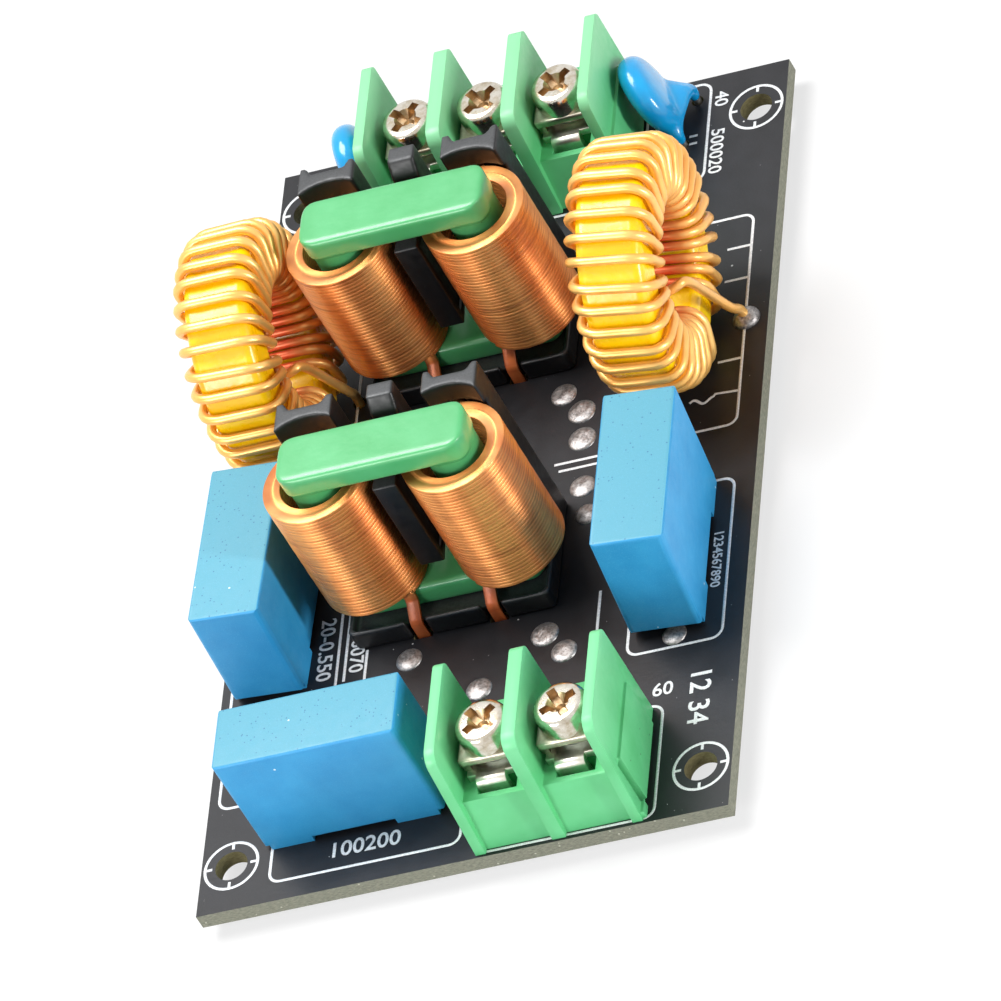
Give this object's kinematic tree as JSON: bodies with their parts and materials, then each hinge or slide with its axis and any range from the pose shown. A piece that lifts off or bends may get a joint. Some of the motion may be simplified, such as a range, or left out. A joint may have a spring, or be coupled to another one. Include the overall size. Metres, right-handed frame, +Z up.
{
  "type": "emi line filter",
  "caption": "Mains line filter on a long circuit board, with edge-wound chokes, wound rings, box and disc capacitors and screw terminals.",
  "frame": {"origin": "centre of the board in plan, at the height of the trimmed lead ends under it", "axes": "+Z up out of the component side, +Y along the long side toward the three-pole terminal block, +X across the short side"},
  "size_m": [0.052, 0.09, 0.0276],
  "materials": {
    "board": "satin black solder mask on glass fibre laminate",
    "terminal_plastic": "satin moulded",
    "contact_metal": "tinned",
    "clamp_metal": "nickel plated",
    "screw_metal": "nickel plated",
    "choke_core_coating": "glossy coating",
    "flat_copper": "enamelled flat copper wire",
    "black_moulding": "satin moulded",
    "ring_core_coating": "glossy coating",
    "round_copper": "enamelled round copper wire",
    "box_case_plastic": "fine satin",
    "resin": "cast",
    "disc_coating": "dipped, glossy",
    "tinned_wire": "tinned",
    "solder": "dull solder"
  },
  "bodies": {
    "root": {"circuit_board": "board", "output_terminal_housing": "terminal_plastic", "output_terminal_contacts": "contact_metal", "output_terminal_clamps": "clamp_metal", "output_terminal_screws": "screw_metal", "input_terminal_housing": "terminal_plastic", "input_terminal_contacts": "contact_metal", "input_terminal_clamps": "clamp_metal", "input_terminal_screws": "screw_metal", "front_choke_core": "choke_core_coating", "front_choke_coil_left": "flat_copper", "front_choke_coil_right": "flat_copper", "front_choke_frame": "black_moulding", "front_choke_divider": "black_moulding", "rear_choke_core": "choke_core_coating", "rear_choke_coil_left": "flat_copper", "rear_choke_coil_right": "flat_copper", "rear_choke_frame": "black_moulding", "rear_choke_divider": "black_moulding", "left_ring_core": "ring_core_coating", "left_ring_winding": "round_copper", "right_ring_core": "ring_core_coating", "right_ring_winding": "round_copper", "front_box_capacitor": "box_case_plastic", "front_box_fill": "resin", "front_box_leads": "tinned_wire", "left_box_capacitor": "box_case_plastic", "left_box_fill": "resin", "left_box_leads": "tinned_wire", "right_box_capacitor": "box_case_plastic", "right_box_fill": "resin", "right_box_leads": "tinned_wire", "left_disc_capacitor": "disc_coating", "left_disc_leads": "tinned_wire", "right_disc_capacitor": "disc_coating", "right_disc_leads": "tinned_wire", "solder_pads": "solder", "solder_joints": "solder"}
  },
  "joints": []
}
